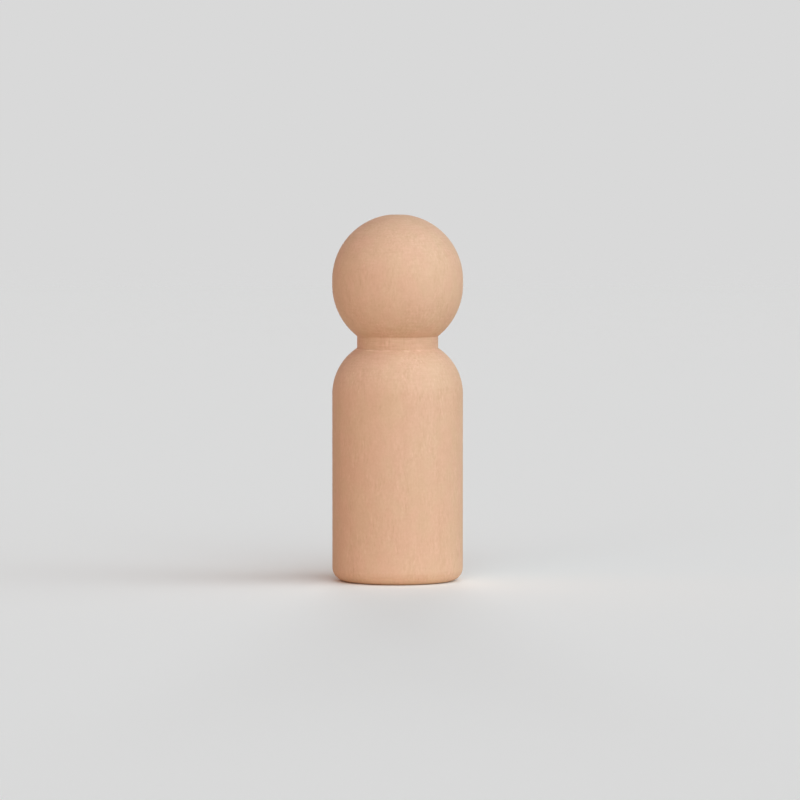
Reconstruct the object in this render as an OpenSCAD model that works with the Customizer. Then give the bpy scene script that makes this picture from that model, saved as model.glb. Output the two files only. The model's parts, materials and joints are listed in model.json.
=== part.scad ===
// A wooden peg doll, turned in one piece from a round hardwood blank: a ball head on a short straight
// neck, a barrel body with round shoulders, and a flat base with a rounded edge.
// It stands on its base. Its axis is the Z axis, and the origin is the middle of the base.

/* [Doll] */
// Height from the base to the crown
doll_h = 42.86; // [34:0.01:70]
// Diameter of the blank, kept by the barrel and by the band round the head
blank_d = 15.3; // [12:0.1:18]

/* [Head] */
// Height of the straight band round the middle of the head
head_band_h = 0.6; // [0.2:0.1:3]
// Diameter of the small flat on the crown, where the doll was parted from its blank
crown_flat_d = 2; // [0.6:0.1:5]

/* [Neck] */
// Diameter of the neck
neck_d = 9.5; // [6:0.1:11]
// Height of the neck between the head and the shoulders
neck_h = 1.4; // [0.5:0.1:4]

/* [Body] */
// Radius of the shoulders, from the barrel up to the neck
shoulder_r = 6.4; // [4:0.1:7]
// Radius of the rounded edge round the base
base_edge_r = 1.6; // [0.4:0.1:4]

/* [Hidden] */
$fn = 128;
WOOD = [0.87, 0.71, 0.58];

blank_r = blank_d / 2;
neck_r = neck_d / 2;

// How far a ball of the blank's radius rises above its middle, out where it is r from the axis
function ball_rise(r) = sqrt(pow(blank_r, 2) - pow(r, 2));

// The head is two half balls with the band between them, cut off flat at the crown
head_upper_z = doll_h - ball_rise(crown_flat_d / 2);
head_lower_z = head_upper_z - head_band_h;
neck_top_z = head_lower_z - ball_rise(neck_r);
neck_foot_z = neck_top_z - neck_h;

// The shoulder's arc meets the barrel's side without a corner and ends at the neck's foot
shoulder_centre_r = blank_r - shoulder_r;
shoulder_z = neck_foot_z - sqrt(pow(shoulder_r, 2) - pow(neck_r - shoulder_centre_r, 2));
foot_r = blank_r - base_edge_r;

// Half section of the head: radius along X, height along Y
module head_section() {
    translate([0, head_upper_z])
        circle(r = blank_r);
    translate([0, head_lower_z])
        circle(r = blank_r);
    translate([0, head_lower_z])
        square([blank_r, head_band_h]);
}

// Half section of the neck, which runs on inside the head and down to the barrel
module neck_section() {
    translate([0, shoulder_z])
        square([neck_r, head_lower_z - shoulder_z]);
}

// Half section of the barrel, its shoulder and its foot
module body_section() {
    translate([shoulder_centre_r, shoulder_z])
        circle(r = shoulder_r);
    translate([0, base_edge_r])
        square([blank_r, shoulder_z - base_edge_r]);
    translate([foot_r, base_edge_r])
        circle(r = base_edge_r);
    square([foot_r, base_edge_r]);
}

// The whole doll, turned about its axis
module turned_doll() {
    color(WOOD)
        rotate_extrude()
            intersection() {
                square([blank_r, doll_h]);
                union() {
                    head_section();
                    neck_section();
                    body_section();
                }
            }
}

turned_doll();
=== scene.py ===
"""A turned wooden peg doll, standing on a plain pale floor in soft studio light.

The doll is one piece of pale hardwood: a ball head, a straight neck, a barrel with round shoulders and
a flat base. Its height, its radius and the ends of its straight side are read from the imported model,
and a Geometry Nodes tree turns its half section about the Z axis as a lathe would. The wood is a solid
pattern, so its grain runs on from the sides through the crown and the base. Lengths are in metres,
except where a description says millimetres.
"""

import json
import logging
import math
from collections.abc import Iterator, Mapping
from dataclasses import dataclass
from enum import Enum
from typing import Any, ClassVar

import bpy
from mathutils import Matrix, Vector

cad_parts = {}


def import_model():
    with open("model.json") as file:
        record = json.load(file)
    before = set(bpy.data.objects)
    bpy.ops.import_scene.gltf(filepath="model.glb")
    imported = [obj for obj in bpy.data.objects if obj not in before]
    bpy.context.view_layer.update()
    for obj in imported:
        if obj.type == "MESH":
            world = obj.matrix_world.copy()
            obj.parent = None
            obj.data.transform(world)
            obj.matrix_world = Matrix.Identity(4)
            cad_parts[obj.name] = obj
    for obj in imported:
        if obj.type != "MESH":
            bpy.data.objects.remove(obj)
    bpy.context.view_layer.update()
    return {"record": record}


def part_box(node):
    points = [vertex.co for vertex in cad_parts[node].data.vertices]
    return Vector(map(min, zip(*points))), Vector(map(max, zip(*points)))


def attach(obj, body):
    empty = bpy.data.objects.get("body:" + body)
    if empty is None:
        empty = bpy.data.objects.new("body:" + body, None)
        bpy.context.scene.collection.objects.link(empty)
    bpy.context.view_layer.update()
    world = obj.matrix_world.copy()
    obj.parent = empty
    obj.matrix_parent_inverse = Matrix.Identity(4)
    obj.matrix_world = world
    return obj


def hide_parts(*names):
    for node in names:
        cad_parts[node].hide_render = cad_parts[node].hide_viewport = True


frame: dict[str, Any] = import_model()

LOG = logging.getLogger("peg_doll")
MM = 0.001
DOLL_NODE = "turned_doll"
BARREL_MOUNT = "barrel"
BODY = "root"
# The name of the map for baked textures
MAP_NAME = "OFBake"

Colour = tuple[float, float, float]
Extent = tuple[float, float, float]
Place = tuple[float, float]
Socket = bpy.types.NodeSocket
Outputs = bpy.types.NodeOutputs

WHITE: Colour = (1.0, 1.0, 1.0)
# The light of every lamp that names no colour of its own
STUDIO_LIGHT: Colour = (0.905, 1.0, 1.045)
# The middle of a noise that runs from 0 to 1
MIDDLE = 0.5


class Trace(Enum):
    """What turning and sanding leave on the surface, kept on the mesh as one attribute each."""

    ALONG = "along"
    # The raised fibre at the neck's foot, which also carries a painted highlight
    LIP_AND_HIGHLIGHT = "lip"
    # The neck's cutter's rings, which also mark its painted shade under the head
    TOOLED_AND_SHADED = "tooled"
    PARTED = "parted"
    CROSSCUT = "crosscut"


def from_display(red: float, green: float, blue: float) -> Colour:
    """Turns a display colour into scene-linear values.

    Args:
        red: Red from 0 to 255, as a screen shows it.
        green: Green, likewise.
        blue: Blue, likewise.

    Returns:
        The three linear values, from 0 to 1.
    """
    full, toe, slope, offset, power = 255, 0.04045, 12.92, 0.055, 2.4
    shown = [value / full for value in (red, green, blue)]
    linear = [s / slope if s <= toe else ((s + offset) / (1 + offset)) ** power for s in shown]
    return linear[0], linear[1], linear[2]


def opaque(colour: Colour) -> tuple[float, float, float, float]:
    """Returns a colour with an alpha of one, as a socket wants it."""
    return (*colour, 1.0)


@dataclass
class Wiring:
    """Adds nodes to one node tree and joins them.

    Attributes:
        tree: The tree that the nodes go into.
    """

    tree: bpy.types.NodeTree

    def feed(self, socket: Socket, value: Any) -> None:
        """Joins another node's socket to this one, or sets its plain value.

        Args:
            socket: The input that is fed.
            value: A socket, or what the input is set to.
        """
        if isinstance(value, Socket):
            self.tree.links.new(value, socket)
        else:
            socket.default_value = value

    def add(
        self, kind: str, inputs: Mapping[str | int, Any] | None = None, **settings: Any
    ) -> bpy.types.Node:
        """Adds a node.

        Args:
            kind: The node's type name.
            inputs: What feeds its inputs, by name or place.
            **settings: The node's own settings.

        Returns:
            The node.
        """
        node = self.tree.nodes.new(kind)
        for name, value in settings.items():
            setattr(node, name, value)
        for key, value in (inputs or {}).items():
            self.feed(node.inputs[key], value)
        return node

    def math(self, operation: str, *values: Any) -> Socket:
        """Adds a Math node and returns its result."""
        return self.add("ShaderNodeMath", dict(enumerate(values)), operation=operation).outputs[0]

    def vector(self, operation: str, *values: Any) -> Socket:
        """Adds a Vector Math node and returns its vector."""
        inputs = dict(enumerate(values))
        return self.add("ShaderNodeVectorMath", inputs, operation=operation).outputs["Vector"]

    def total(self, first: Any, *others: Any) -> Socket:
        """Adds values up, one Math node after another.

        Args:
            first: The first value.
            *others: What is added to it.

        Returns:
            The last node's result.
        """
        for other in others:
            first = self.math("ADD", first, other)
        return first

    def weighed(self, value: Any, weight: Any, middle: float = 0.0) -> Socket:
        """Returns a value, less its middle, times a weight."""
        return self.math("MULTIPLY", self.math("SUBTRACT", value, middle), weight)

    def join(self, x: Any = 0.0, y: Any = 0.0, z: Any = 0.0) -> Socket:
        """Returns a vector of three values."""
        return self.add("ShaderNodeCombineXYZ", {"X": x, "Y": y, "Z": z}).outputs[0]

    def split(self, vector: Any) -> Outputs:
        """Returns a vector's three values, by name."""
        return self.add("ShaderNodeSeparateXYZ", {0: vector}).outputs

    def noise(self, place: Any, scale: Any, detail: float = 0.0, seed: Any = 0.0) -> Socket:
        """Adds a smooth noise, from 0 to 1 with a middle of a half.

        Args:
            place: The vector that the noise is read at.
            scale: How many bumps it has in one unit of that vector.
            detail: How many finer layers it has.
            seed: Picks one noise among many.

        Returns:
            The noise's value.
        """
        inputs = {"Vector": place, "W": seed, "Scale": scale, "Detail": detail}
        return self.add("ShaderNodeTexNoise", inputs, noise_dimensions="4D").outputs[0]

    def mix(self, share: Any, first: Any, second: Any) -> Socket:
        """Adds a node that mixes two colours.

        Args:
            share: Share of the second colour.
            first: The first colour, a socket or four values.
            second: The second colour, likewise.

        Returns:
            The mixed colour.
        """
        # Where the node keeps the two colours among its inputs, and the mixed one among its outputs
        first_place, second_place, mixed_place = 6, 7, 2
        inputs = {"Factor": share, first_place: first, second_place: second}
        return self.add("ShaderNodeMix", inputs, data_type="RGBA").outputs[mixed_place]

    def step(self, value: Any, low: Any, high: Any) -> Socket:
        """Adds a smooth step.

        Args:
            value: What is read.
            low: Where the result is 0.
            high: Where the result is 1.

        Returns:
            The stepped value.
        """
        inputs = {"Value": value, "From Min": low, "From Max": high}
        return self.add("ShaderNodeMapRange", inputs, interpolation_type="SMOOTHSTEP").outputs[0]


@dataclass(frozen=True)
class SectionPoint:
    """One point of the doll's half section.

    Attributes:
        r: Distance from the axis.
        z: Height above the base.
        lip: Share of the fibre that is raised at the neck's foot, and of its painted highlight.
        tooled: Share of the tool rings that sanding did not reach, and of the neck's painted shade.
        parted: Share of the marks that cutting off the ends left.
    """

    r: float
    z: float
    lip: float = 0.0
    tooled: float = 0.0
    parted: float = 0.0


def line(start: Place, end: Place, pitch: float) -> Iterator[Place]:
    """Yields points from start up to, but not including, end.

    Args:
        start: Radius and height of the first point.
        end: Radius and height of the point after the last.
        pitch: Largest distance between points.

    Yields:
        Radius and height of each point.
    """
    count = max(1, math.ceil(math.dist(start, end) / pitch))
    for i in range(count):
        share = i / count
        yield start[0] + (end[0] - start[0]) * share, start[1] + (end[1] - start[1]) * share


def arc(middle: Place, radius: float, start: float, end: float, pitch: float) -> Iterator[Place]:
    """Yields points round an arc, up to but not including its end.

    Args:
        middle: Radius and height of the arc's middle.
        radius: The arc's own radius.
        start: Angle of the first point, in radians anticlockwise from straight outwards.
        end: Angle of the arc's end.
        pitch: Largest distance between points.

    Yields:
        Radius and height of each point.
    """
    count = max(1, math.ceil(radius * abs(end - start) / pitch))
    for i in range(count):
        angle = start + (end - start) * i / count
        yield middle[0] + radius * math.cos(angle), middle[1] + radius * math.sin(angle)


@dataclass(frozen=True)
class Head:
    """The ball head: two half balls of the blank's radius, with a straight band between them.

    Attributes:
        radius: Radius of the ball.
        crown_z: Height of the crown.
        band_h: Height of the straight band.
        crown_flat_r: Radius of the flat where the doll was parted from its blank.
        crown_round_r: Radius that sanding gave the flat's edge.
        round_parted: Share of the parting marks that is left on that edge.
        pitch: Distance between points of the section.
    """

    radius: float
    crown_z: float
    band_h: float = 0.6 * MM
    crown_flat_r: float = 1.0 * MM
    crown_round_r: float = 4.0 * MM
    round_parted: float = 0.3
    pitch: float = 0.16 * MM

    @property
    def upper_z(self) -> float:
        """Height of the upper half ball's middle."""
        return self.crown_z - math.sqrt(self.radius**2 - self.crown_flat_r**2)

    @property
    def lower_z(self) -> float:
        """Height of the lower half ball's middle."""
        return self.upper_z - self.band_h

    def section(self, start: float) -> Iterator[SectionPoint]:
        """Yields the head's points, from the neck to the middle of the crown.

        Args:
            start: Angle at which the lower half ball leaves the neck.

        Yields:
            The points.
        """
        reach = self.radius - self.crown_round_r
        rise = self.crown_z - self.crown_round_r - self.upper_z
        flat_r = math.sqrt(reach**2 - rise**2)
        crown = math.atan2(rise, flat_r)
        crown_middle = (flat_r, self.crown_z - self.crown_round_r)
        for r, z in arc((0, self.lower_z), self.radius, start, 0, self.pitch):
            yield SectionPoint(r, z)
        for r, z in line((self.radius, self.lower_z), (self.radius, self.upper_z), self.pitch):
            yield SectionPoint(r, z)
        for r, z in arc((0, self.upper_z), self.radius, 0, crown, self.pitch):
            yield SectionPoint(r, z)
        for r, z in arc(crown_middle, self.crown_round_r, crown, math.pi / 2, self.pitch):
            yield SectionPoint(r, z, parted=self.round_parted)
        for r, z in line((flat_r, self.crown_z), (0, self.crown_z), self.pitch):
            yield SectionPoint(r, z, parted=1.0)
        yield SectionPoint(0, self.crown_z, parted=1.0)


@dataclass(frozen=True)
class Barrel:
    """The body: a flat base with a rounded edge, a straight barrel and round shoulders.

    Attributes:
        radius: Radius of the barrel.
        edge_r: Radius of the base's rounded edge.
        shoulder_z: Height at which the shoulders start.
        shoulder_r: Radius of the shoulders' arc.
        lip_w: Width of the fibre that is raised beside the neck.
        base_pitch: Distance between points on the base.
        side_pitch: Distance between points up the barrel.
        arc_pitch: Distance between points round the arcs.
        lip_pitch: Distance between points on the raised fibre.
    """

    radius: float
    edge_r: float
    shoulder_z: float
    shoulder_r: float = 6.4 * MM
    lip_w: float = 0.36 * MM
    base_pitch: float = 0.25 * MM
    side_pitch: float = 0.35 * MM
    arc_pitch: float = 0.13 * MM
    lip_pitch: float = 0.03 * MM

    @property
    def shoulder_middle(self) -> Place:
        """Radius and height of the middle of the shoulders' arc."""
        return self.radius - self.shoulder_r, self.shoulder_z

    def section(self, end: float) -> Iterator[SectionPoint]:
        """Yields the body's points, from the middle of the base to the neck's foot.

        Args:
            end: Angle at which the shoulders' arc meets the neck.

        Yields:
            The points.
        """
        foot_r = self.radius - self.edge_r
        for r, z in line((0, 0), (foot_r, 0), self.base_pitch):
            yield SectionPoint(r, z, parted=1.0)
        for r, z in arc((foot_r, self.edge_r), self.edge_r, -math.pi / 2, 0, self.arc_pitch):
            yield SectionPoint(r, z)
        for r, z in line((self.radius, self.edge_r), (self.radius, self.shoulder_z), self.side_pitch):
            yield SectionPoint(r, z)
        lip_start = end - self.lip_w / self.shoulder_r
        for r, z in arc(self.shoulder_middle, self.shoulder_r, 0, lip_start, self.arc_pitch):
            yield SectionPoint(r, z)
        # The raised fibre at the neck's foot, which the material also lightens as a painted highlight
        lip = list(arc(self.shoulder_middle, self.shoulder_r, lip_start, end, self.lip_pitch))
        for i, (r, z) in enumerate(lip):
            yield SectionPoint(r, z, lip=math.sin(math.pi * i / len(lip)) ** 2)


@dataclass(frozen=True)
class Neck:
    """The straight neck between the shoulders and the head.

    Attributes:
        radius: Radius of the neck.
        corner_r: Radius that the cutter leaves in the corner at each end.
        pitch: Distance between points up the neck.
        corner_pitch: Distance between points in the corners.
    """

    radius: float = 4.75 * MM
    corner_r: float = 0.1 * MM
    pitch: float = 0.06 * MM
    corner_pitch: float = 0.02 * MM

    def foot(self, barrel: Barrel) -> Place:
        """Works out the middle of the corner between the neck and a body's shoulders.

        Args:
            barrel: The body that the neck stands on.

        Returns:
            The radius and the height of the corner's middle.
        """
        r = self.radius + self.corner_r
        middle_r, middle_z = barrel.shoulder_middle
        reach = barrel.shoulder_r + self.corner_r
        return r, middle_z + math.sqrt(reach**2 - (r - middle_r) ** 2)

    def top(self, head: Head) -> Place:
        """Returns the middle of the corner between the neck and a head."""
        r = self.radius + self.corner_r
        return r, head.lower_z - math.sqrt((head.radius + self.corner_r) ** 2 - r**2)

    def foot_angle(self, barrel: Barrel) -> float:
        """Returns the angle at which a body's shoulders end in the corner at the neck's foot."""
        foot, middle = self.foot(barrel), barrel.shoulder_middle
        return math.atan2(foot[1] - middle[1], foot[0] - middle[0])

    def top_angle(self, head: Head) -> float:
        """Returns the angle at which a head's lower half ball starts in the corner above the neck."""
        top = self.top(head)
        return math.atan2(top[1] - head.lower_z, top[0])

    def section(self, barrel: Barrel, head: Head) -> Iterator[SectionPoint]:
        """Yields the neck's points, from the shoulders up to the head.

        Args:
            barrel: The body that the neck stands on.
            head: The head that the neck carries.

        Yields:
            The points.
        """
        foot, top = self.foot(barrel), self.top(head)
        foot_start, top_end = self.foot_angle(barrel) + math.pi, self.top_angle(head) + math.pi
        # Every point of the neck carries the cutter's rings and the painted shade under the head
        for r, z in arc(foot, self.corner_r, foot_start, math.pi, self.corner_pitch):
            yield SectionPoint(r, z, tooled=1.0)
        for r, z in line((self.radius, foot[1]), (self.radius, top[1]), self.pitch):
            yield SectionPoint(r, z, tooled=1.0)
        for r, z in arc(top, self.corner_r, math.pi, top_end, self.corner_pitch):
            yield SectionPoint(r, z, tooled=1.0)


@dataclass(frozen=True)
class Lathe:
    """Turns a half section into a solid, and leaves on it what the tool and the sanding leave.

    Attributes:
        steps_round: Number of faces round the doll.
        weld: Distance within which points are made one, along the seam and at the poles.
        unevenness: Depth of the slow unevenness that sanding leaves.
        unevenness_pitch: Distance between its dips, in millimetres.
        ring_depth: Depth of the rings that the cutter leaves in the neck.
        ring_pitch: Distance between them, in millimetres.
        parting_depth: Depth of the rings that cutting off leaves on the base and the crown.
        parting_pitch: Distance between them, in millimetres.
        lip_height: Height of the fibre raised at the neck's foot.
        lip_pitch: Distance between the places where it is raised, in millimetres.
        lip_low: Level of a noise at which it starts to rise.
        lip_high: Level at which it is raised in full.
        seed: Picks the marks among many.
    """

    steps_round: int = 256
    weld: float = 1e-5 * MM
    unevenness: float = 0.012 * MM
    unevenness_pitch: float = 6.0
    ring_depth: float = 0.004 * MM
    ring_pitch: float = 0.16
    parting_depth: float = 0.012 * MM
    parting_pitch: float = 0.35
    lip_height: float = 0.04 * MM
    lip_pitch: float = 1.3
    lip_low: float = 0.46
    lip_high: float = 0.6
    seed: float = 7.0

    def inputs(self) -> dict[str, tuple[str, Any]]:
        """Lists the tree's named inputs.

        Returns:
            The socket type and the value of each, by name.
        """
        sizes = {
            "Weld": self.weld,
            "Unevenness": self.unevenness,
            "Unevenness Pitch": self.unevenness_pitch,
            "Ring Depth": self.ring_depth,
            "Ring Pitch": self.ring_pitch,
            "Parting Depth": self.parting_depth,
            "Parting Pitch": self.parting_pitch,
            "Lip Height": self.lip_height,
            "Lip Pitch": self.lip_pitch,
            "Lip Low": self.lip_low,
            "Lip High": self.lip_high,
            "Seed": self.seed,
        }
        floats = {name: ("NodeSocketFloat", size) for name, size in sizes.items()}
        return {"Steps Round": ("NodeSocketInt", self.steps_round), **floats}

    def turn(
        self, name: str, section: list[SectionPoint], finish: bpy.types.Material
    ) -> bpy.types.Object:
        """Turns a section into a plain mesh object.

        Args:
            name: The object's name.
            section: The half section, from the base's middle to the crown's.
            finish: The material of the turned surface.

        Returns:
            The object, with no modifier left on it.
        """
        outline = self.outline(name, section)
        turned = bpy.data.objects.new(name, outline)
        bpy.context.scene.collection.objects.link(turned)
        tree = self.tree(finish)
        modifier = turned.modifiers.new("lathe", "NODES")
        modifier.node_group = tree
        given = self.inputs()
        for socket in tree.interface.items_tree:
            if socket.in_out == "INPUT" and socket.name in given:
                modifier[socket.identifier] = given[socket.name][1]
        graph = bpy.context.evaluated_depsgraph_get()
        evaluated = turned.evaluated_get(graph)
        solid = bpy.data.meshes.new_from_object(
            evaluated, preserve_all_data_layers=True, depsgraph=graph
        )
        turned.modifiers.clear()
        turned.data = solid
        bpy.data.meshes.remove(outline)
        solid.name = name
        return turned

    def outline(self, name: str, section: list[SectionPoint]) -> bpy.types.Mesh:
        """Makes the section a mesh of points that carry their traces.

        Args:
            name: The mesh's name.
            section: The half section.

        Returns:
            The mesh, with its radii along X.
        """
        mesh = bpy.data.meshes.new(name + "_section")
        mesh.from_pydata([(p.r, 0, p.z) for p in section], [], [])
        along = [0.0]
        for a, b in zip(section, section[1:]):
            along.append(along[-1] + math.dist((a.r, a.z), (b.r, b.z)) / MM)
        traces = {
            Trace.ALONG: along,
            Trace.LIP_AND_HIGHLIGHT: [p.lip for p in section],
            Trace.TOOLED_AND_SHADED: [p.tooled for p in section],
            Trace.PARTED: [p.parted for p in section],
        }
        for trace, values in traces.items():
            mesh.attributes.new(trace.value, "FLOAT", "POINT").data.foreach_set("value", values)
        return mesh

    def tree(self, finish: bpy.types.Material) -> bpy.types.NodeTree:
        """Builds the Geometry Nodes tree.

        Args:
            finish: The material of the turned surface.

        Returns:
            The tree, with a named input for each size.
        """
        tree = bpy.data.node_groups.new("lathe", "GeometryNodeTree")
        tree.interface.new_socket("Section", in_out="INPUT", socket_type="NodeSocketGeometry")
        for name, (kind, _) in self.inputs().items():
            tree.interface.new_socket(name, in_out="INPUT", socket_type=kind)
        tree.interface.new_socket("Turned", in_out="OUTPUT", socket_type="NodeSocketGeometry")
        wiring = Wiring(tree)
        given = wiring.add("NodeGroupInput").outputs
        turned = self.revolve(wiring, given)
        marked = self.mark(wiring, given, turned)
        smooth = wiring.add("GeometryNodeSetShadeSmooth", {"Geometry": marked}).outputs[0]
        real = wiring.add("GeometryNodeRealizeInstances", {"Geometry": smooth}).outputs[0]
        inputs = {"Geometry": real, "Material": finish}
        dressed = wiring.add("GeometryNodeSetMaterial", inputs).outputs[0]
        wiring.add("NodeGroupOutput", {"Turned": dressed})
        return tree

    def revolve(self, wiring: Wiring, given: Outputs) -> Socket:
        """Bends a grid round the axis, and closes it along its seam and at its two poles.

        Args:
            wiring: The tree that is built.
            given: The tree's own inputs.

        Returns:
            The closed mesh, with the section's traces and a map for textures.
        """
        section, around = given["Section"], given["Steps Round"]
        size = wiring.add("GeometryNodeAttributeDomainSize", {"Geometry": section}, component="MESH")
        count = size.outputs["Point Count"]
        columns = wiring.math("ADD", around, 1)
        inputs = {"Vertices X": columns, "Vertices Y": count}
        grid = wiring.add("GeometryNodeMeshGrid", inputs).outputs["Mesh"]
        index = wiring.add("GeometryNodeInputIndex").outputs[0]
        row = wiring.math("MODULO", index, count)
        turn = wiring.math("DIVIDE", wiring.math("FLOOR", wiring.math("DIVIDE", index, count)), around)
        angle = wiring.math("MULTIPLY", turn, math.tau)
        place = wiring.add("GeometryNodeInputPosition").outputs[0]
        spot = wiring.split(self.sample(wiring, section, place, row, "FLOAT_VECTOR"))
        x = wiring.math("MULTIPLY", spot["X"], wiring.math("COSINE", angle))
        y = wiring.math("MULTIPLY", spot["X"], wiring.math("SINE", angle))
        inputs = {"Geometry": grid, "Position": wiring.join(x, y, spot["Z"])}
        mesh = wiring.add("GeometryNodeSetPosition", inputs).outputs[0]
        for trace in (Trace.ALONG, Trace.LIP_AND_HIGHLIGHT, Trace.TOOLED_AND_SHADED, Trace.PARTED):
            value = self.sample(wiring, section, self.read(wiring, trace), row, "FLOAT")
            mesh = self.store(wiring, mesh, trace, value)
        last = wiring.math("SUBTRACT", count, 1)
        whole = self.sample(wiring, section, self.read(wiring, Trace.ALONG), last, "FLOAT")
        rise = wiring.math("DIVIDE", self.read(wiring, Trace.ALONG), whole)
        inputs = {"Value": wiring.join(turn, rise)}
        settings = {"data_type": "FLOAT_VECTOR", "domain": "POINT"}
        flat = wiring.add("GeometryNodeFieldOnDomain", inputs, **settings).outputs[0]
        inputs = {"Geometry": mesh, "Name": MAP_NAME, "Value": flat}
        settings = {"data_type": "FLOAT2", "domain": "CORNER"}
        mapped = wiring.add("GeometryNodeStoreNamedAttribute", inputs, **settings).outputs[0]
        inputs = {"Geometry": mapped, "Distance": given["Weld"]}
        return wiring.add("GeometryNodeMergeByDistance", inputs).outputs[0]

    def mark(self, wiring: Wiring, given: Outputs, mesh: Socket) -> Socket:
        """Leaves the marks of cutting and sanding on the closed mesh.

        Args:
            wiring: The tree that is built.
            given: The tree's own inputs.
            mesh: The closed mesh.

        Returns:
            The marked mesh.
        """
        normal = wiring.add("GeometryNodeInputNormal").outputs["Normal"]
        steep = wiring.math("ABSOLUTE", wiring.split(normal)["Z"])
        mesh = self.store(wiring, mesh, Trace.CROSSCUT, steep)
        place = wiring.add("GeometryNodeInputPosition").outputs[0]
        place_mm = wiring.vector("DIVIDE", place, (MM, MM, MM))
        # The raised fibre is broken into stretches, which also carry its painted highlight
        chance = self.uneven(wiring, place_mm, given["Lip Pitch"], given["Seed"], detail=1.0)
        standing = wiring.step(chance, given["Lip Low"], given["Lip High"])
        lip = wiring.math("MULTIPLY", standing, self.read(wiring, Trace.LIP_AND_HIGHLIGHT))
        mesh = self.store(wiring, mesh, Trace.LIP_AND_HIGHLIGHT, lip)
        along = wiring.join(self.read(wiring, Trace.ALONG))
        parted = self.read(wiring, Trace.PARTED)
        slow = self.uneven(wiring, place_mm, given["Unevenness Pitch"], given["Seed"], detail=1.0)
        sanded = wiring.math("MULTIPLY", slow, wiring.math("SUBTRACT", 1.0, parted))
        rings = self.uneven(wiring, along, given["Ring Pitch"], given["Seed"])
        cut = wiring.math("MULTIPLY", rings, self.read(wiring, Trace.TOOLED_AND_SHADED))
        ends = self.uneven(wiring, along, given["Parting Pitch"], given["Seed"], detail=1.0)
        sunk = wiring.total(
            wiring.math("MULTIPLY", sanded, given["Unevenness"]),
            wiring.math("MULTIPLY", cut, given["Ring Depth"]),
            wiring.math("MULTIPLY", wiring.math("MULTIPLY", ends, parted), given["Parting Depth"]),
        )
        raised = wiring.math("MULTIPLY", self.read(wiring, Trace.LIP_AND_HIGHLIGHT), given["Lip Height"])
        height = wiring.math("SUBTRACT", raised, sunk)
        offset = wiring.vector("MULTIPLY", normal, wiring.join(height, height, height))
        return wiring.add("GeometryNodeSetPosition", {"Geometry": mesh, "Offset": offset}).outputs[0]

    def uneven(
        self, wiring: Wiring, place: Socket, pitch: Socket, seed: Socket, detail: float = 0.0
    ) -> Socket:
        """Returns a noise whose bumps lie a pitch apart, in the units of the place it is read at."""
        return wiring.noise(place, wiring.math("DIVIDE", 1.0, pitch), detail=detail, seed=seed)

    def sample(
        self, wiring: Wiring, mesh: Socket, value: Socket, index: Socket, kind: str
    ) -> Socket:
        """Returns a value as it is at one point of a mesh."""
        inputs = {"Geometry": mesh, "Value": value, "Index": index}
        return wiring.add("GeometryNodeSampleIndex", inputs, data_type=kind, domain="POINT").outputs[0]

    def read(self, wiring: Wiring, trace: Trace) -> Socket:
        """Returns a trace that the mesh's points carry."""
        inputs = {"Name": trace.value}
        return wiring.add("GeometryNodeInputNamedAttribute", inputs, data_type="FLOAT").outputs[0]

    def store(self, wiring: Wiring, mesh: Socket, trace: Trace, value: Socket) -> Socket:
        """Keeps a trace on every point of a mesh.

        Args:
            wiring: The tree that is built.
            mesh: The mesh.
            trace: Which trace is kept.
            value: What it is at each point.

        Returns:
            The mesh with the trace.
        """
        inputs = {"Geometry": mesh, "Name": trace.value, "Value": value}
        settings = {"data_type": "FLOAT", "domain": "POINT"}
        return wiring.add("GeometryNodeStoreNamedAttribute", inputs, **settings).outputs[0]


class Effect:
    """A shader node group that is built once and placed in any material with its own values.

    Attributes:
        name: The group's name.
        inputs: Socket type of each input, by name.
        outputs: Names of the outputs, each a value that changes over the surface.
    """

    name: ClassVar[str]
    inputs: ClassVar[dict[str, str]]
    outputs: ClassVar[tuple[str, ...]]

    @classmethod
    def wire(cls, wiring: Wiring, given: Outputs) -> dict[str, Socket]:
        """Builds the group's inside.

        Args:
            wiring: The group's tree.
            given: The group's own inputs.

        Returns:
            What feeds each output, by name.
        """
        raise NotImplementedError

    @classmethod
    def place(cls, wiring: Wiring, values: Mapping[str, Any]) -> Outputs:
        """Places the group in a material, building it the first time.

        Args:
            wiring: The material's tree.
            values: What feeds each input, by name.

        Returns:
            The group's outputs.
        """
        made = bpy.data.node_groups.get(cls.name)
        if made is None:
            made = bpy.data.node_groups.new(cls.name, "ShaderNodeTree")
            for name, kind in cls.inputs.items():
                made.interface.new_socket(name, in_out="INPUT", socket_type="NodeSocket" + kind)
            for name in cls.outputs:
                made.interface.new_socket(name, in_out="OUTPUT", socket_type="NodeSocketFloat")
            inside = Wiring(made)
            inside.add("NodeGroupOutput", cls.wire(inside, inside.add("NodeGroupInput").outputs))
        node = wiring.add("ShaderNodeGroup", node_tree=made)
        for name, value in values.items():
            wiring.feed(node.inputs[name], value)
        return node.outputs


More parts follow.
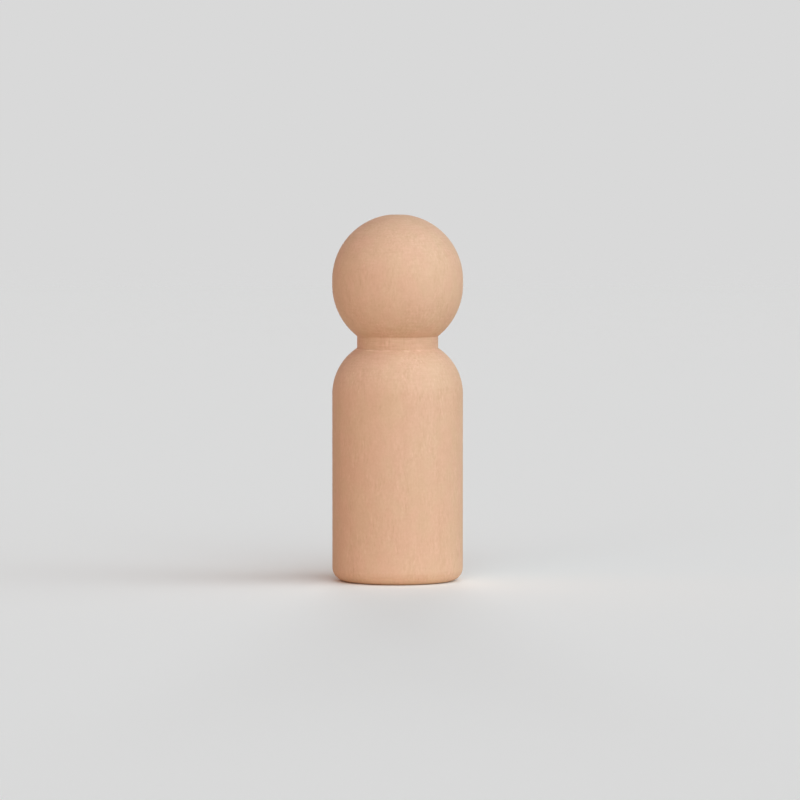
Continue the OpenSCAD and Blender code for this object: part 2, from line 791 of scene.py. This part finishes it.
class GrowthRings(Effect):
    """Growth rings about a pith that runs along Z: a late band ends each ring, and each has its tone.

    Attributes:
        stray: How many times a ring strays in a millimetre, along X, Y and Z.
        late_start: Share of a ring's width at which its late band sets in.
        late_full: Share at which the band is at its fullest.
        late_end: Share from which it gives way to the next ring.
    """

    name = "growth_rings"
    inputs = {"Place": "Vector", "Ring Width": "Float", "Wander": "Float", "Seed": "Float"}
    outputs = ("Late Wood", "Year")
    stray: ClassVar[Extent] = (0.12, 0.12, 0.025)
    late_start: ClassVar[float] = 0.45
    late_full: ClassVar[float] = 0.93
    late_end: ClassVar[float] = 0.95

    @classmethod
    def wire(cls, wiring: Wiring, given: Outputs) -> dict[str, Socket]:
        """Makes the rings: how far a point is from the pith, strayed a little, counted in ring widths.

        Args:
            wiring: The group's tree.
            given: The group's own inputs.

        Returns:
            What feeds each output, by name.
        """
        place = given["Place"]
        slow = wiring.vector("MULTIPLY", place, cls.stray)
        wander = wiring.noise(slow, 1.0, detail=2.0, seed=given["Seed"])
        part = wiring.split(place)
        across = wiring.join(part["X"], part["Y"])
        radius = wiring.add("ShaderNodeVectorMath", {0: across}, operation="LENGTH").outputs["Value"]
        moved = wiring.math("ADD", radius, wiring.weighed(wander, given["Wander"], MIDDLE))
        ring = wiring.math("DIVIDE", moved, given["Ring Width"])
        age = wiring.math("FRACT", ring)
        rise = wiring.step(age, cls.late_start, cls.late_full)
        late = wiring.math("MULTIPLY", rise, wiring.step(age, 1.0, cls.late_end))
        pick = wiring.math("ADD", wiring.math("FLOOR", ring), given["Seed"])
        year = wiring.add("ShaderNodeTexWhiteNoise", {"W": pick}, noise_dimensions="1D").outputs["Value"]
        return {"Late Wood": late, "Year": year}


class Fibres(Effect):
    """Streaks that run along Z: fine ones over a broad, slow one.

    Attributes:
        broad_share: How long the broad streaks are, as a share of the fine ones' stretch.
    """

    name = "fibres"
    inputs = {
        "Place": "Vector",
        "Fine Pitch": "Float",
        "Broad Pitch": "Float",
        "Stretch": "Float",
        "Seed": "Float",
    }
    outputs = ("Fine", "Broad")
    broad_share: ClassVar[float] = 0.45

    @classmethod
    def wire(cls, wiring: Wiring, given: Outputs) -> dict[str, Socket]:
        """Makes the streaks from noises that are drawn out along Z.

        Args:
            wiring: The group's tree.
            given: The group's own inputs.

        Returns:
            What feeds each output, by name.
        """
        part = wiring.split(given["Place"])
        drawn = wiring.join(part["X"], part["Y"], wiring.math("DIVIDE", part["Z"], given["Stretch"]))
        fine_scale = wiring.math("DIVIDE", 1.0, given["Fine Pitch"])
        fine = wiring.noise(drawn, fine_scale, detail=2.0, seed=given["Seed"])
        less = wiring.math("MULTIPLY", given["Stretch"], cls.broad_share)
        short = wiring.join(part["X"], part["Y"], wiring.math("DIVIDE", part["Z"], less))
        broad_scale = wiring.math("DIVIDE", 1.0, given["Broad Pitch"])
        broad = wiring.noise(short, broad_scale, detail=1.0, seed=given["Seed"])
        return {"Fine": fine, "Broad": broad}


class Flecks(Effect):
    """Short spindles scattered through the wood, such as vessels and rays, in cells of one size.

    Attributes:
        core: Share of a fleck's reach at which it is full.
        sure: Share of the chance under which a cell's fleck is full.
    """

    name = "flecks"
    inputs = {"Place": "Vector", "Cell": "Vector", "Reach": "Float", "Share": "Float"}
    outputs = ("Mask",)
    core: ClassVar[float] = 0.4
    sure: ClassVar[float] = 0.6

    @classmethod
    def wire(cls, wiring: Wiring, given: Outputs) -> dict[str, Socket]:
        """Makes the flecks: one in each chosen cell, round the cell's own spot.

        Args:
            wiring: The group's tree.
            given: The group's own inputs.

        Returns:
            What feeds each output, by name.
        """
        drawn = wiring.vector("DIVIDE", given["Place"], given["Cell"])
        cell = wiring.add("ShaderNodeTexVoronoi", {"Vector": drawn, "Scale": 1.0}).outputs
        full_reach = wiring.math("MULTIPLY", given["Reach"], cls.core)
        near = wiring.step(cell["Distance"], given["Reach"], full_reach)
        chance = wiring.split(cell["Color"])["X"]
        full_share = wiring.math("MULTIPLY", given["Share"], cls.sure)
        chosen = wiring.step(chance, given["Share"], full_share)
        return {"Mask": wiring.math("MULTIPLY", near, chosen)}


class SandingMarks(Effect):
    """Fine scratches that run round the doll, as it is sanded while it spins."""

    name = "sanding_marks"
    inputs = {"Place": "Vector", "Along": "Float", "Pitch": "Float", "Length": "Float", "Seed": "Float"}
    outputs = ("Height",)

    @classmethod
    def wire(cls, wiring: Wiring, given: Outputs) -> dict[str, Socket]:
        """Makes the scratches from a noise that is long round the doll and fine along its side.

        Args:
            wiring: The group's tree.
            given: The group's own inputs.

        Returns:
            What feeds each output, by name.
        """
        part = wiring.split(given["Place"])
        spot = wiring.join(
            wiring.math("DIVIDE", part["X"], given["Length"]),
            wiring.math("DIVIDE", part["Y"], given["Length"]),
            wiring.math("DIVIDE", given["Along"], given["Pitch"]),
        )
        return {"Height": wiring.noise(spot, 1.0, detail=1.0, seed=given["Seed"])}


@dataclass(frozen=True)
class Mottle:
    """A noise through the wood.

    Attributes:
        across: How many spots it has in a millimetre across the grain.
        along: The same, along the grain.
        seed: Picks the noise among many.
        detail: How many finer layers it has.
    """

    across: float
    along: float
    seed: float
    detail: float = 0.0

    def value(self, wiring: Wiring, place: Socket) -> Socket:
        """Returns the noise at a place, from 0 to 1 with a middle of a half."""
        spot = wiring.vector("MULTIPLY", place, (self.across, self.across, self.along))
        return wiring.noise(spot, 1.0, detail=self.detail, seed=self.seed)


@dataclass(frozen=True)
class Drift:
    """A slow change of the wood's colour from place to place.

    Attributes:
        mottle: Where it comes and goes.
        change: What its full swing adds to red, green and blue, as shares of the wood's own colour.
    """

    mottle: Mottle
    change: Colour

    def tinted(self, wiring: Wiring, place: Socket, tint: Socket) -> Socket:
        """Changes a tint by what this drift does at a place.

        Args:
            wiring: The material's tree.
            place: The place that the drift is read at.
            tint: The tint so far.

        Returns:
            The changed tint.
        """
        swing = wiring.math("SUBTRACT", self.mottle.value(wiring, place), MIDDLE)
        change = wiring.vector("MULTIPLY", wiring.join(swing, swing, swing), self.change)
        return wiring.vector("MULTIPLY", tint, wiring.vector("ADD", change, WHITE))


@dataclass(frozen=True)
class FleckKind:
    """One kind of fleck in the wood.

    Attributes:
        cell: Size of the cells that it is scattered in, in millimetres.
        reach: How far it reaches from its own middle, as a share of a cell.
        share: Share of the cells that hold one.
        tone: How much it lightens the wood, or darkens it where below zero.
    """

    cell: Extent
    reach: float
    share: float
    tone: float

    def mask(self, wiring: Wiring, place: Socket) -> Socket:
        """Returns 1 in a fleck and 0 between the flecks."""
        values = {"Place": place, "Cell": self.cell, "Reach": self.reach, "Share": self.share}
        return Flecks.place(wiring, values)["Mask"]


@dataclass(frozen=True)
class Traits:
    """What the wood is like at a point of the surface, each a value from 0 to about 1.

    Attributes:
        late: How far the point lies in the late band of a growth ring.
        year: The tone of its growth ring.
        fine: The fine fibres.
        broad: The broad fibres.
        vessels: The vessels, cut lengthwise.
        rays: The rays, cut lengthwise.
        grit: The specks that sanding leaves.
        blotch: The blotches, a millimetre or so across.
        scratches: The scratches of sanding, which run round the doll.
        crosscut: How far the surface is cut across the grain.
        end_grain: The same, for what is nearly end grain only.
        tooled: Where the cutter's rings are left, also the neck's painted shade under the head.
        lip: The raised fibre at the neck's foot, which carries a painted highlight.
        patch: How much the grain stands out.
    """

    late: Socket
    year: Socket
    fine: Socket
    broad: Socket
    vessels: Socket
    rays: Socket
    grit: Socket
    blotch: Socket
    scratches: Socket
    crosscut: Socket
    end_grain: Socket
    tooled: Socket
    lip: Socket
    patch: Socket


@dataclass(frozen=True)
class Tones:
    """How much each trait lightens the wood, or darkens it where below zero, as a share.

    Attributes:
        late: The late band of a growth ring.
        year: One growth ring against another.
        fine: The fine fibres, where the grain stands out.
        broad: The broad fibres.
        grit: The specks that sanding leaves.
        grit_crosscut: What they gain where the surface is cut across the grain.
        blotch: The blotches.
        scratches: The scratches of sanding.
        scratches_crosscut: What they gain where the surface is cut across the grain.
        scratches_tooled: What they gain where the cutter's rings are left.
        end_grain: The end grain.
        tooled: Painted shade over the neck, under the head, where the cutter's rings are left.
        lip: Painted highlight on the raised fibre at the neck's foot.
    """

    late: float = -0.012
    year: float = 0.012
    fine: float = 0.24
    broad: float = 0.05
    grit: float = 0.165
    grit_crosscut: float = 0.05
    blotch: float = 0.11
    scratches: float = 0.04
    scratches_crosscut: float = 0.22
    scratches_tooled: float = 0.25
    end_grain: float = -0.04
    # Painted shade: the whole neck, under the head, is darkened
    tooled: float = -0.04
    # Painted highlight: the raised fibre at the neck's foot is lightened where it catches the light
    lip: float = 0.28


@dataclass(frozen=True)
class PaleHardwood:
    """Pale, fine-grained hardwood, turned and sanded but not varnished.

    Attributes:
        colour: Its colour where it is neither pinker nor yellower.
        deepening: How much of a darker tone each of red, green and blue takes on.
        pink: What its pinker stretches are multiplied by.
        yellow: What its yellower stretches are multiplied by.
        hue: Where it is pinker and where yellower.
        drifts: How its colour changes slowly over the whole doll.
        pith: Distance of the pith from the doll's axis, in millimetres.
        pith_turn: Direction of the pith round the axis, in degrees.
        pith_tilt: Lean of the grain from the doll's axis, in degrees.
        ring_width: Width of a growth ring, in millimetres.
        ring_wander: How far a growth ring strays, in millimetres.
        fine_pitch: Width of a fine fibre, in millimetres.
        broad_pitch: Width of a broad fibre, in millimetres.
        stretch: How many times longer than wide a fibre is.
        vessels: Its vessels.
        rays: Its rays.
        grit: Where sanding leaves specks.
        blotch: Where it is blotched.
        scratch_pitch: Distance between sanding scratches, in millimetres.
        scratch_length: Length of a sanding scratch, in millimetres.
        patch: Where its grain stands out more.
        patch_least: How much its grain stands out where it does so least.
        patch_crosscut: What it gains where the surface is cut across the grain.
        change_low: Level of a slow noise at which one state of the wood ends.
        change_high: Level at which the other state is reached.
        end_sharpness: Power that leaves only what is nearly end grain.
        tones: How much each trait lightens or darkens it.
        relief: Height of its surface's relief.
        relief_vessels: Height of a vessel's mouth, as a share of a fine fibre's.
        relief_scratches: Height of a scratch, likewise.
        roughness: How dull the sanded surface is.
        roughness_fine: What the fine fibres add to that.
        roughness_end: What end grain adds to it.
        gloss: How strongly its surface mirrors, where 0.5 is common for wood and plastics.
        seed: Picks the piece of wood among many.
    """

    colour: Colour = from_display(217, 180, 153)
    deepening: Colour = (0.7, 1.0, 1.25)
    pink: Colour = (1.012, 0.988, 0.992)
    yellow: Colour = (0.99, 1.01, 0.98)
    hue: Mottle = Mottle(across=0.5, along=0.28, seed=3.0, detail=2.0)
    drifts: tuple[Drift, ...] = (
        Drift(Mottle(across=0.15, along=0.1, seed=1.0), change=(-0.03, -0.06, -0.1)),
        Drift(Mottle(across=0.1, along=0.1, seed=2.0), change=(0.03, 0.05, 0.06)),
    )
    pith: float = 34.0
    pith_turn: float = 205.0
    pith_tilt: float = 1.2
    ring_width: float = 1.7
    ring_wander: float = 1.2
    fine_pitch: float = 0.22
    broad_pitch: float = 0.8
    stretch: float = 3.4
    vessels: FleckKind = FleckKind(cell=(0.32, 0.32, 1.6), reach=0.32, share=0.55, tone=-0.06)
    rays: FleckKind = FleckKind(cell=(0.5, 0.32, 1.3), reach=0.3, share=0.5, tone=0.07)
    grit: Mottle = Mottle(across=4.5, along=3.2, seed=5.0, detail=2.0)
    blotch: Mottle = Mottle(across=0.8, along=0.75, seed=6.0, detail=2.0)
    scratch_pitch: float = 0.2
    scratch_length: float = 1.6
    patch: Mottle = Mottle(across=0.45, along=0.3, seed=4.0, detail=1.0)
    patch_least: float = 0.25
    patch_crosscut: float = 0.3
    change_low: float = 0.35
    change_high: float = 0.65
    end_sharpness: float = 4.0
    tones: Tones = Tones()
    relief: float = 0.006 * MM
    relief_vessels: float = -0.8
    relief_scratches: float = 0.5
    roughness: float = 0.58
    roughness_fine: float = 0.12
    roughness_end: float = 0.1
    gloss: float = 0.15
    seed: float = 3.0

    def material(self) -> bpy.types.Material:
        """Builds the material.

        Returns:
            The material, which reads Object coordinates and the traces on the mesh.
        """
        made = bpy.data.materials.new("pale_hardwood")
        made.use_nodes = True
        made.node_tree.nodes.clear()
        wiring = Wiring(made.node_tree)
        place, centred = self.places(wiring)
        traits = self.traits(wiring, place, centred)
        tone = self.tone(wiring, traits)
        deepened = [wiring.math("POWER", tone, share) for share in self.deepening]
        tint = self.tint(wiring, place, centred)
        shaded = wiring.vector("MULTIPLY", tint, wiring.join(*deepened))
        height = wiring.total(
            traits.fine,
            wiring.weighed(traits.vessels, self.relief_vessels),
            wiring.weighed(traits.scratches, self.relief_scratches),
        )
        bump = {"Height": height, "Strength": 1.0, "Distance": self.relief}
        rough = wiring.total(
            self.roughness,
            wiring.weighed(traits.fine, self.roughness_fine, MIDDLE),
            wiring.weighed(traits.end_grain, self.roughness_end),
        )
        inputs = {
            "Base Color": wiring.vector("MULTIPLY", shaded, self.colour),
            "Roughness": rough,
            "Normal": wiring.add("ShaderNodeBump", bump).outputs[0],
            "Specular IOR Level": self.gloss,
        }
        shader = wiring.add("ShaderNodeBsdfPrincipled", inputs).outputs[0]
        wiring.add("ShaderNodeOutputMaterial", {"Surface": shader})
        return made

    def places(self, wiring: Wiring) -> tuple[Socket, Socket]:
        """Reads where a point of the surface lies in the wood.

        Args:
            wiring: The material's tree.

        Returns:
            The place in millimetres from the doll's base, and the same from the pith with X along the
            radius of the tree and Z along the grain.
        """
        objects = wiring.add("ShaderNodeTexCoord").outputs["Object"]
        place = wiring.vector("DIVIDE", objects, (MM, MM, MM))
        lean = (0, math.radians(self.pith_tilt), math.radians(self.pith_turn))
        turned = wiring.add("ShaderNodeMapping", {"Vector": place, "Rotation": lean}).outputs[0]
        return place, wiring.vector("ADD", turned, (self.pith, 0, 0))

    def traits(self, wiring: Wiring, place: Socket, centred: Socket) -> Traits:
        """Reads what the wood is like at a point of the surface.

        Args:
            wiring: The material's tree.
            place: The point's place from the doll's base.
            centred: Its place from the pith.

        Returns:
            The traits.
        """
        rings = {
            "Place": centred,
            "Ring Width": self.ring_width,
            "Wander": self.ring_wander,
            "Seed": self.seed,
        }
        grown = GrowthRings.place(wiring, rings)
        streaks = {
            "Place": centred,
            "Fine Pitch": self.fine_pitch,
            "Broad Pitch": self.broad_pitch,
            "Stretch": self.stretch,
            "Seed": self.seed,
        }
        fibres = Fibres.place(wiring, streaks)
        scratched = {
            "Place": place,
            "Along": self.trace(wiring, Trace.ALONG),
            "Pitch": self.scratch_pitch,
            "Length": self.scratch_length,
            "Seed": self.seed,
        }
        scratches = SandingMarks.place(wiring, scratched)["Height"]
        crosscut = self.trace(wiring, Trace.CROSSCUT)
        patch = wiring.total(
            self.patch_least,
            self.changed(wiring, self.patch.value(wiring, place)),
            wiring.weighed(crosscut, self.patch_crosscut),
        )
        return Traits(
            late=grown["Late Wood"],
            year=grown["Year"],
            fine=fibres["Fine"],
            broad=fibres["Broad"],
            vessels=self.vessels.mask(wiring, centred),
            rays=self.rays.mask(wiring, centred),
            grit=self.grit.value(wiring, place),
            blotch=self.blotch.value(wiring, place),
            scratches=scratches,
            crosscut=crosscut,
            end_grain=wiring.math("POWER", crosscut, self.end_sharpness),
            tooled=self.trace(wiring, Trace.TOOLED_AND_SHADED),
            lip=self.trace(wiring, Trace.LIP_AND_HIGHLIGHT),
            patch=patch,
        )

    def tone(self, wiring: Wiring, traits: Traits) -> Socket:
        """Adds up what lightens and what darkens the wood.

        Args:
            wiring: The material's tree.
            traits: What the wood is like.

        Returns:
            The tone, where 1 leaves the wood's colour as it is.
        """
        tones = self.tones
        fine = wiring.math("MULTIPLY", traits.patch, tones.fine)
        vessels = wiring.math("MULTIPLY", traits.patch, self.vessels.tone)
        rays = wiring.math("MULTIPLY", traits.patch, self.rays.tone)
        grit = wiring.total(tones.grit, wiring.weighed(traits.crosscut, tones.grit_crosscut))
        scratches = wiring.total(
            tones.scratches,
            wiring.weighed(traits.crosscut, tones.scratches_crosscut),
            wiring.weighed(traits.tooled, tones.scratches_tooled),
        )
        return wiring.total(
            1.0,
            wiring.weighed(traits.late, tones.late),
            wiring.weighed(traits.year, tones.year, MIDDLE),
            wiring.weighed(traits.fine, fine, MIDDLE),
            wiring.weighed(traits.broad, tones.broad, MIDDLE),
            wiring.weighed(traits.grit, grit, MIDDLE),
            wiring.weighed(traits.blotch, tones.blotch, MIDDLE),
            wiring.weighed(traits.vessels, vessels),
            wiring.weighed(traits.rays, rays),
            wiring.weighed(traits.scratches, scratches, MIDDLE),
            wiring.weighed(traits.end_grain, tones.end_grain),
            # Painted shade over the neck, under the head
            wiring.weighed(traits.tooled, tones.tooled),
            # Painted highlight on the raised fibre at the neck's foot
            wiring.weighed(traits.lip, tones.lip),
        )

    def tint(self, wiring: Wiring, place: Socket, centred: Socket) -> Socket:
        """Works out how far the wood's hue is from its plain colour.

        Args:
            wiring: The material's tree.
            place: The point's place from the doll's base.
            centred: Its place from the pith.

        Returns:
            What the wood's colour is multiplied by.
        """
        turn = self.changed(wiring, self.hue.value(wiring, centred))
        tint = wiring.mix(turn, opaque(self.yellow), opaque(self.pink))
        for drift in self.drifts:
            tint = drift.tinted(wiring, place, tint)
        return tint

    def changed(self, wiring: Wiring, slow: Socket) -> Socket:
        """Returns 0 for one state of the wood and 1 for the other, from a slow noise."""
        return wiring.step(slow, self.change_low, self.change_high)

    def trace(self, wiring: Wiring, trace: Trace) -> Socket:
        """Returns a trace that the mesh carries, as the material reads it."""
        return wiring.add("ShaderNodeAttribute", attribute_name=trace.value).outputs["Fac"]


@dataclass(frozen=True)
class PegDoll:
    """The whole doll, turned from one blank.

    Attributes:
        head: The ball head.
        neck: The straight neck.
        barrel: The body.
        lathe: What turns it.
        finish: What it is made of.
    """

    head: Head
    neck: Neck
    barrel: Barrel
    lathe: Lathe
    finish: PaleHardwood

    @classmethod
    def from_frame(cls) -> "PegDoll":
        """Works out the doll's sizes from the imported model.

        Returns:
            The doll.
        """
        low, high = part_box(DOLL_NODE)
        mount = next(m for m in frame["record"]["mounts"] if m["name"] == BARREL_MOUNT)
        radius = mount["dims"]["r_mm"] * MM
        half = mount["dims"]["length_mm"] * MM / 2
        middle = mount["pos_m"][2]
        return cls(
            head=Head(radius=radius, crown_z=high.z),
            neck=Neck(),
            barrel=Barrel(radius=radius, edge_r=middle - half - low.z, shoulder_z=middle + half),
            lathe=Lathe(),
            finish=PaleHardwood(),
        )

    def section(self) -> list[SectionPoint]:
        """Joins the sections of the body, the neck and the head.

        Returns:
            The whole half section, from the middle of the base to the middle of the crown.
        """
        body = self.barrel.section(self.neck.foot_angle(self.barrel))
        neck = self.neck.section(self.barrel, self.head)
        head = self.head.section(self.neck.top_angle(self.head))
        return [*body, *neck, *head]

    def build(self) -> bpy.types.Object:
        """Makes the doll.

        Returns:
            The doll, which rides on the one body and stands for its node.
        """
        doll = self.lathe.turn("wooden_doll", self.section(), self.finish.material())
        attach(doll, BODY)
        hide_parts(DOLL_NODE)
        return doll


@dataclass(frozen=True)
class Lamp:
    """A far lamp, whose light is the same all over the scene.

    Attributes:
        name: The lamp's name.
        turn: Its direction round the doll, in degrees to the right of the camera.
        height: Its height above the horizon, in degrees.
        spread: How wide it looks from the doll, in degrees.
        strength: How brightly it lights a surface that faces it, where 1 shows a colour as written.
        colour: Its colour.
        glints: Whether it shows in the gloss of what it lights.
    """

    name: str
    turn: float
    height: float
    spread: float
    strength: float
    colour: Colour = STUDIO_LIGHT
    glints: bool = True

    def build(self) -> bpy.types.Object:
        """Makes the lamp.

        Returns:
            The lamp's object, aimed at the doll.
        """
        data = bpy.data.lights.new(self.name, "SUN")
        data.angle = math.radians(self.spread)
        data.energy = self.strength * math.pi
        data.color = self.colour
        lamp = bpy.data.objects.new(self.name, data)
        bpy.context.scene.collection.objects.link(lamp)
        turn, height = math.radians(self.turn), math.radians(self.height)
        level = math.cos(height)
        towards = Vector((math.sin(turn) * level, -math.cos(turn) * level, math.sin(height)))
        lamp.rotation_mode = "QUATERNION"
        lamp.rotation_quaternion = towards.to_track_quat("Z", "Y")
        lamp.location = towards
        lamp.visible_glossy = self.glints
        return lamp


@dataclass(frozen=True)
class Studio:
    """The floor, the light and the camera.

    Attributes:
        backdrop: The colour that the floor fades into, as the camera sees it.
        floor_colour: Colour of the floor, as the camera sees it.
        bounce_colour: Colour of the floor for the light that it throws back on the doll.
        near_bounce: The same close to the doll, where it lights the base's edge.
        near_start: Distance from the doll's axis at which the close colour starts to give way.
        near_end: Distance at which nothing of it is left.
        air: Colour and strength of the light that comes from all round.
        lamps: The lamps.
        floor_half: Half the width of the floor.
        fade_start: Distance from the doll at which the floor starts to fade into the backdrop.
        fade_end: Distance at which nothing of the floor is left.
        camera_distance: Distance of the camera in front of the doll's axis.
        camera_z: Height of the camera.
        aim_x: How far to the right of the axis the camera stands and looks.
        aim_z: Height at which the camera looks.
        view_width: Width of what it sees at the doll's axis.
        sensor: Width of its sensor, in millimetres.
        nearest: Distance at which it starts to see, as a share of its distance from the doll.
        farthest: Distance at which it stops seeing, likewise.
    """

    backdrop: Colour = from_display(217, 217, 217)
    floor_colour: Colour = (0.91, 0.922, 0.91)
    bounce_colour: Colour = (0.85, 0.72, 0.568)
    near_bounce: Colour = (0.98, 0.9, 0.76)
    near_start: float = 7 * MM
    near_end: float = 11 * MM
    air: Colour = (0.145, 0.113, 0.105)
    lamps: tuple[Lamp, ...] = (
        Lamp("key", turn=42, height=40, spread=85, strength=0.61),
        Lamp("front", turn=0, height=20, spread=65, strength=0.3),
        Lamp("side", turn=90, height=15, spread=65, strength=0.175),
        Lamp("warm", turn=-50, height=20, spread=65, strength=0.15, colour=(1.0, 0.36, 0.12)),
        Lamp(
            "back", turn=180, height=10, spread=22, strength=0.46, colour=(0.93, 1.0, 1.06), glints=False
        ),
    )
    floor_half: float = 3.0
    fade_start: float = 0.35
    fade_end: float = 1.2
    camera_distance: float = 665 * MM
    camera_z: float = 59.8 * MM
    aim_x: float = 0.28 * MM
    aim_z: float = 21.18 * MM
    view_width: float = 93.6 * MM
    sensor: float = 36.0
    nearest: float = 0.1
    farthest: float = 100.0

    def floor(self) -> bpy.types.Object:
        """Makes the floor, which fades into the backdrop far behind the doll.

        Returns:
            The floor.
        """
        half = self.floor_half
        mesh = bpy.data.meshes.new("floor")
        corners = [(-half, -half, 0), (half, -half, 0), (half, half, 0), (-half, half, 0)]
        mesh.from_pydata(corners, [], [(0, 1, 2, 3)])
        mesh.materials.append(self.floor_material())
        floor = bpy.data.objects.new("floor", mesh)
        bpy.context.scene.collection.objects.link(floor)
        return floor

    def floor_material(self) -> bpy.types.Material:
        """Builds the floor's dull, pale material.

        Returns:
            The material.
        """
        made = bpy.data.materials.new("pale_floor")
        made.use_nodes = True
        made.node_tree.nodes.clear()
        wiring = Wiring(made.node_tree)
        seen = self.seen(wiring)
        objects = wiring.add("ShaderNodeTexCoord").outputs["Object"]
        reach = wiring.add("ShaderNodeVectorMath", {0: objects}, operation="LENGTH").outputs["Value"]
        beyond = wiring.step(reach, self.near_start, self.near_end)
        bounce = wiring.mix(beyond, opaque(self.near_bounce), opaque(self.bounce_colour))
        colour = wiring.mix(seen, bounce, opaque(self.floor_colour))
        inputs = {"Base Color": colour, "Roughness": 1.0, "Specular IOR Level": 0.0}
        plain = wiring.add("ShaderNodeBsdfPrincipled", inputs).outputs[0]
        gone = wiring.add("ShaderNodeBsdfTransparent").outputs[0]
        far = wiring.step(reach, self.fade_start, self.fade_end)
        fade = wiring.math("MULTIPLY", far, seen)
        mixed = wiring.add("ShaderNodeMixShader", {0: fade, 1: plain, 2: gone}).outputs[0]
        wiring.add("ShaderNodeOutputMaterial", {"Surface": mixed})
        return made

    def seen(self, wiring: Wiring) -> Socket:
        """Tells the rays that are seen from those that only carry light.

        Args:
            wiring: The tree that asks.

        Returns:
            1 for a ray that shows its end, seen straight, reflected or through a piece, and else 0.
        """
        ray = wiring.add("ShaderNodeLightPath").outputs
        reflected = wiring.math("MAXIMUM", ray["Is Camera Ray"], ray["Is Glossy Ray"])
        return wiring.math("MAXIMUM", reflected, ray["Is Transmission Ray"])

    def world(self) -> bpy.types.World:
        """Makes the light that comes from all round, and the backdrop that the camera sees.

        Returns:
            The world.
        """
        made = bpy.data.worlds.new("studio")
        made.use_nodes = True
        made.node_tree.nodes.clear()
        wiring = Wiring(made.node_tree)
        light = wiring.add("ShaderNodeBackground", {"Color": opaque(self.air)}).outputs[0]
        shown = wiring.add("ShaderNodeBackground", {"Color": opaque(self.backdrop)}).outputs[0]
        inputs = {0: self.seen(wiring), 1: light, 2: shown}
        mixed = wiring.add("ShaderNodeMixShader", inputs).outputs[0]
        wiring.add("ShaderNodeOutputWorld", {"Surface": mixed})
        bpy.context.scene.world = made
        return made

    def camera(self) -> bpy.types.Object:
        """Makes the camera, a little above the doll and far in front of it.

        Returns:
            The camera's object.
        """
        data = bpy.data.cameras.new("camera")
        spot = Vector((self.aim_x, -self.camera_distance, self.camera_z))
        sight = Vector((self.aim_x, 0, self.aim_z)) - spot
        data.sensor_width = self.sensor
        data.lens = self.sensor * sight.length / self.view_width
        data.clip_start = sight.length * self.nearest
        data.clip_end = sight.length * self.farthest
        camera = bpy.data.objects.new("camera", data)
        bpy.context.scene.collection.objects.link(camera)
        camera.location = spot
        camera.rotation_mode = "QUATERNION"
        camera.rotation_quaternion = sight.to_track_quat("-Z", "Y")
        bpy.context.scene.camera = camera
        return camera

    def build(self) -> None:
        """Makes the floor, the light and the camera."""
        self.floor()
        self.world()
        for lamp in self.lamps:
            lamp.build()
        self.camera()
        bpy.context.scene.view_settings.view_transform = "Standard"


def main() -> None:
    """Builds the doll and its studio in order, and reports each piece."""
    logging.basicConfig(level=logging.INFO, format="%(name)s: %(message)s")
    doll = PegDoll.from_frame().build()
    size = [round(side / MM, 2) for side in doll.dimensions]
    LOG.info("%s: %d faces, %s mm", doll.name, len(doll.data.polygons), size)
    Studio().build()
    LOG.info("studio: floor, light and camera")


if __name__ == "__main__":
    main()
